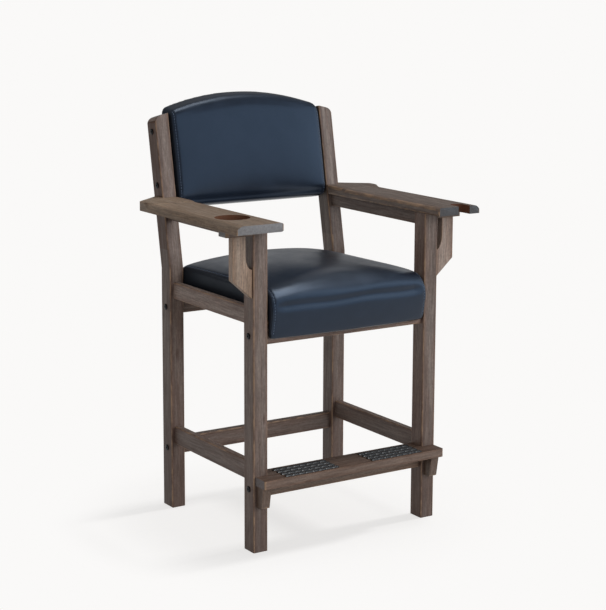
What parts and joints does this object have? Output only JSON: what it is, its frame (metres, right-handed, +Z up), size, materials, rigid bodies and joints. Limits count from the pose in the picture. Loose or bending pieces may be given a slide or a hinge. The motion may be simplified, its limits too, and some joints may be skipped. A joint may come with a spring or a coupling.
{
  "type": "billiard spectator chair",
  "caption": "Tall wooden armchair for watching billiards, with a padded seat and back, a footrest with rubber treads, a cup recess in one arm and a cue notch in the other.",
  "frame": {"origin": "on the floor, under the centre of the bounding box", "axes": "+Z up, -Y the way the chair faces, +X to the viewer's right when the chair is seen from the front; the cup arm is on -X and the cue arm on +X"},
  "size_m": [0.808, 0.6998, 1.2248],
  "materials": {
    "stained_hardwood": "weathered grey-brown stain, satin lacquer, rubbed edges",
    "plywood": "raw plywood",
    "navy_leather": "very dark navy, satin, fine grain",
    "black_rubber": "moulded, matt",
    "black_steel": "black oxide, satin",
    "zinc_steel": "zinc plated"
  },
  "bodies": {
    "root": {"front_leg_left": "stained_hardwood", "front_leg_right": "stained_hardwood", "rear_post_left": "stained_hardwood", "rear_post_right": "stained_hardwood", "arm_cup_left": "stained_hardwood", "arm_cue_right": "stained_hardwood", "arm_rail_left": "stained_hardwood", "arm_rail_right": "stained_hardwood", "corbel_left": "stained_hardwood", "corbel_right": "stained_hardwood", "corbel_cap_left": "stained_hardwood", "corbel_cap_right": "stained_hardwood", "seat_rail_left": "stained_hardwood", "seat_rail_right": "stained_hardwood", "seat_rail_front": "stained_hardwood", "seat_rail_rear": "stained_hardwood", "side_stretcher_left": "stained_hardwood", "side_stretcher_right": "stained_hardwood", "rear_stretcher": "stained_hardwood", "front_stretcher": "stained_hardwood", "footrest_board": "stained_hardwood", "footrest_bracket_left": "stained_hardwood", "footrest_bracket_right": "stained_hardwood", "tread_left_1": "black_rubber", "tread_left_2": "black_rubber", "tread_left_3": "black_rubber", "tread_left_4": "black_rubber", "tread_right_1": "black_rubber", "tread_right_2": "black_rubber", "tread_right_3": "black_rubber", "tread_right_4": "black_rubber", "seat_panel": "plywood", "seat_cushion": "navy_leather", "back_panel": "plywood", "back_cushion": "navy_leather", "back_cover": "navy_leather", "bolt_seat_rail_front_left": "black_steel", "bolt_seat_rail_front_right": "black_steel", "bolt_seat_rail_rear_left": "black_steel", "bolt_seat_rail_rear_right": "black_steel", "bolt_front_stretcher_left": "black_steel", "bolt_front_stretcher_right": "black_steel", "bolt_rear_stretcher_left": "black_steel", "bolt_rear_stretcher_right": "black_steel", "bolt_back_lower_left": "black_steel", "bolt_back_lower_right": "black_steel", "bolt_back_upper_left": "black_steel", "bolt_back_upper_right": "black_steel", "barrel_nut_seat_rail_front_left": "zinc_steel", "barrel_nut_seat_rail_front_right": "zinc_steel", "barrel_nut_seat_rail_rear_left": "zinc_steel", "barrel_nut_seat_rail_rear_right": "zinc_steel", "barrel_nut_front_stretcher_left": "zinc_steel", "barrel_nut_front_stretcher_right": "zinc_steel", "barrel_nut_rear_stretcher_left": "zinc_steel", "barrel_nut_rear_stretcher_right": "zinc_steel"}
  },
  "joints": []
}
